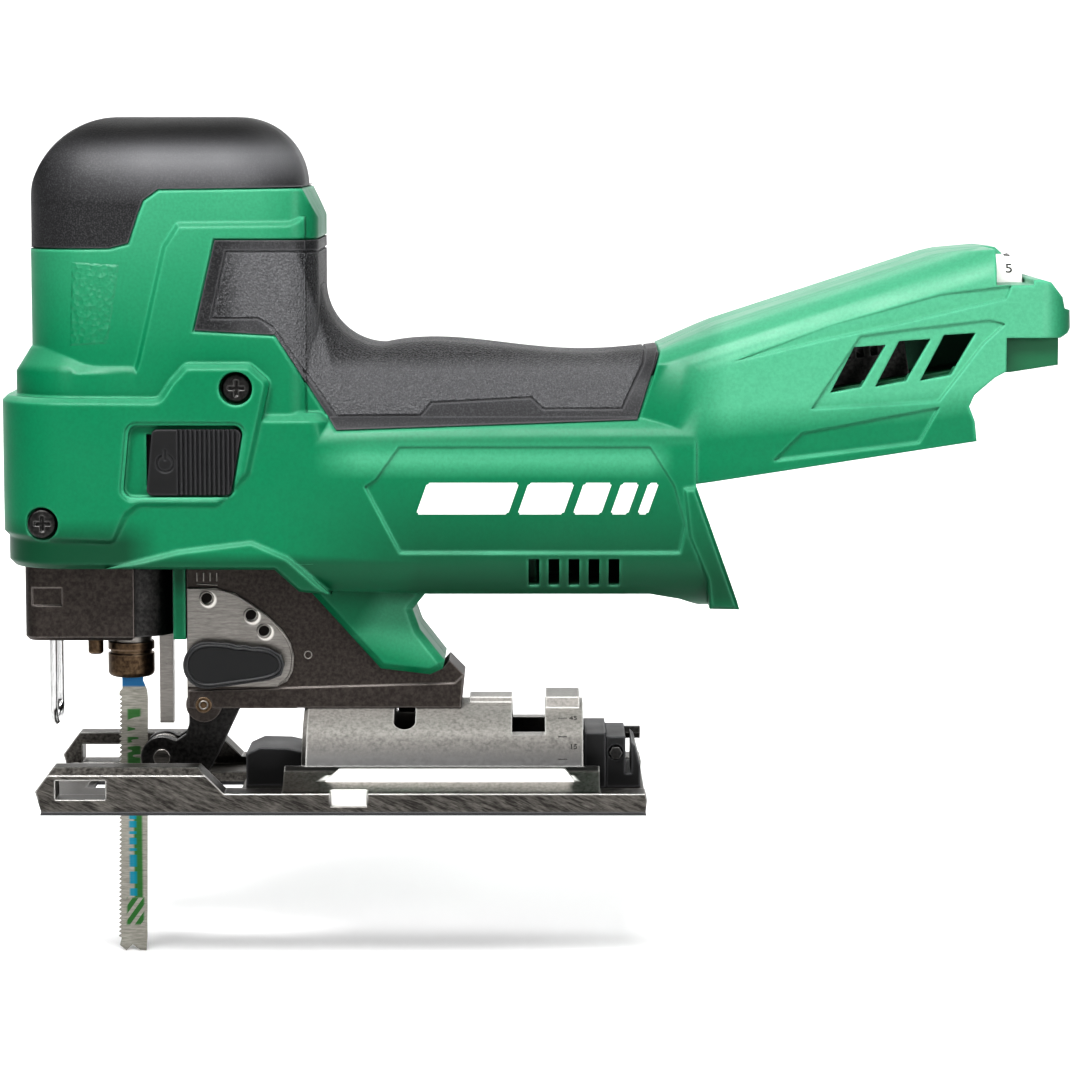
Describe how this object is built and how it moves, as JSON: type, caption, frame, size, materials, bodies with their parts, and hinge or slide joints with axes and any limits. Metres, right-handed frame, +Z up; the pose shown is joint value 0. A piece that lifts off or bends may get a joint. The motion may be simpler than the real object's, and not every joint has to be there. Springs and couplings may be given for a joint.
{
  "type": "cordless jigsaw",
  "caption": "Barrel-grip battery jigsaw with a scotch-yoke blade drive, roller-guided blade, orbit selector, tilting sole and battery slide bay.",
  "frame": {"origin": "on the underside of the sole, on the mid-plane, below the plunger axis", "axes": "+X towards the tail and battery bay, +Y to the tool's right-hand side, +Z up, away from the work"},
  "size_m": [0.3031, 0.074, 0.2432],
  "materials": {
    "green_shell": "satin moulded",
    "dark_green": "satin moulded",
    "soft_black": "fine grain",
    "black_plastic": "satin moulded",
    "dark_casting": "dark cast metal",
    "aluminium_casting": "bead blasted casting",
    "steel": "machined",
    "dark_steel": "blackened",
    "chrome": "bright drawn wire",
    "bronze": "dark bronze",
    "blade_steel": "ground",
    "copper": "enamelled wire",
    "white_plastic": "satin",
    "magnet": "laminated"
  },
  "bodies": {
    "case": {"housing_left": "green_shell", "housing_right": "green_shell", "top_cap": "soft_black", "grip_left": "soft_black", "grip_right": "soft_black", "case_screws": "dark_steel", "gear_frame": "dark_casting", "plunger_bushings": "bronze", "spindle_cover": "dark_steel", "release_peg": "bronze", "stator": "magnet", "windings": "copper", "motor_bearings": "steel", "gear_shaft": "steel", "arm_pin": "bronze", "detent_plate": "steel", "clamp_plate": "steel", "clamp_bolt": "dark_steel", "micro_switch": "black_plastic", "dial_sensor": "black_plastic", "bay_plate": "dark_green", "terminal_block": "black_plastic", "contacts": "bronze", "controller": "dark_steel"},
    "rotor": {"rotor_shaft": "steel", "rotor_core": "magnet", "cooling_fan": "black_plastic", "pinion": "steel"},
    "crank": {"crank_gear": "steel", "crank_roller": "steel"},
    "plunger": {"plunger": "steel", "yoke": "steel", "blade_holder": "bronze"},
    "saw_blade": {"blade": "blade_steel"},
    "front_lever": {"release_lever": "dark_casting", "wire_guard": "chrome"},
    "guide_arm": {"roller_arm": "dark_steel", "roller_pin": "steel"},
    "roller": {"guide_roller": "steel"},
    "push_rod": {"push_rod": "steel"},
    "selector": {"selector_lever": "black_plastic"},
    "base": {"base_plate": "aluminium_casting", "sole_cover": "black_plastic", "dust_duct": "black_plastic", "key_clip": "black_plastic"},
    "key": {"hex_key": "dark_steel"},
    "switch": {"slider_left": "black_plastic", "slider_right": "black_plastic", "slider_link": "black_plastic"},
    "dial": {"speed_dial": "white_plastic"}
  },
  "joints": [
    {"name": "crank_turn", "type": "hinge", "parent": "case", "child": "crank", "pos_m": [0.0425, 0, 0.12122], "axis": [1, 0, 0], "range_deg": [-90, 90]},
    {"name": "rotor_spin", "type": "hinge", "parent": "case", "child": "rotor", "pos_m": [0.1, 0, 0.095], "axis": [1, 0, 0], "range_deg": [-600, 600]},
    {"name": "plunger_stroke", "type": "slide", "parent": "case", "child": "plunger", "axis": [0, 0, 1], "range_m": [-0.013, 0.013]},
    {"name": "blade_pull", "type": "slide", "parent": "plunger", "child": "saw_blade", "axis": [0, 0, -1], "range_m": [0, 0.02]},
    {"name": "front_lever_turn", "type": "hinge", "parent": "case", "child": "front_lever", "pos_m": [0, 0, 0.058], "axis": [0, 0, 1], "range_deg": [0, 45], "stiffness_Nm_per_rad": 0.15, "springref_deg": -11.46},
    {"name": "guide_arm_swing", "type": "hinge", "parent": "case", "child": "guide_arm", "pos_m": [0.02175, 0, 0.0275], "axis": [0, -1, 0], "range_deg": [0, 4], "stiffness_Nm_per_rad": 0.8, "springref_deg": -5.73},
    {"name": "roller_spin", "type": "hinge", "parent": "guide_arm", "child": "roller", "pos_m": [0.0092, 0, 0.0116], "axis": [0, -1, 0], "continuous": true},
    {"name": "selector_turn", "type": "hinge", "parent": "case", "child": "selector", "pos_m": [0.023, 0, 0.0395], "axis": [0, -1, 0], "range_deg": [0, 90]},
    {"name": "push_rod_slide", "type": "slide", "parent": "case", "child": "push_rod", "axis": [0, 0, -1], "range_m": [0, 0.003]},
    {"name": "bevel_tilt", "type": "hinge", "parent": "case", "child": "base", "pos_m": [0.08, 0, 0], "axis": [1, 0, 0], "range_deg": [-45, 45]},
    {"name": "key_pull", "type": "slide", "parent": "base", "child": "key", "axis": [0, 1, 0], "range_m": [0, 0.03]},
    {"name": "switch_slide", "type": "slide", "parent": "case", "child": "switch", "axis": [-1, 0, 0], "range_m": [0, 0.0055]},
    {"name": "dial_turn", "type": "hinge", "parent": "case", "child": "dial", "pos_m": [0.253, 0, 0.1463], "axis": [1, 0, 0], "range_deg": [-240, 0]}
  ],
  "couplings": [
    {"joint": "crank_turn", "follows": "plunger_stroke", "rad_per_m": 120.83},
    {"joint": "rotor_spin", "follows": "plunger_stroke", "rad_per_m": -805.53},
    {"joint": "selector_turn", "follows": "push_rod_slide", "rad_per_m": 523.59}
  ]
}
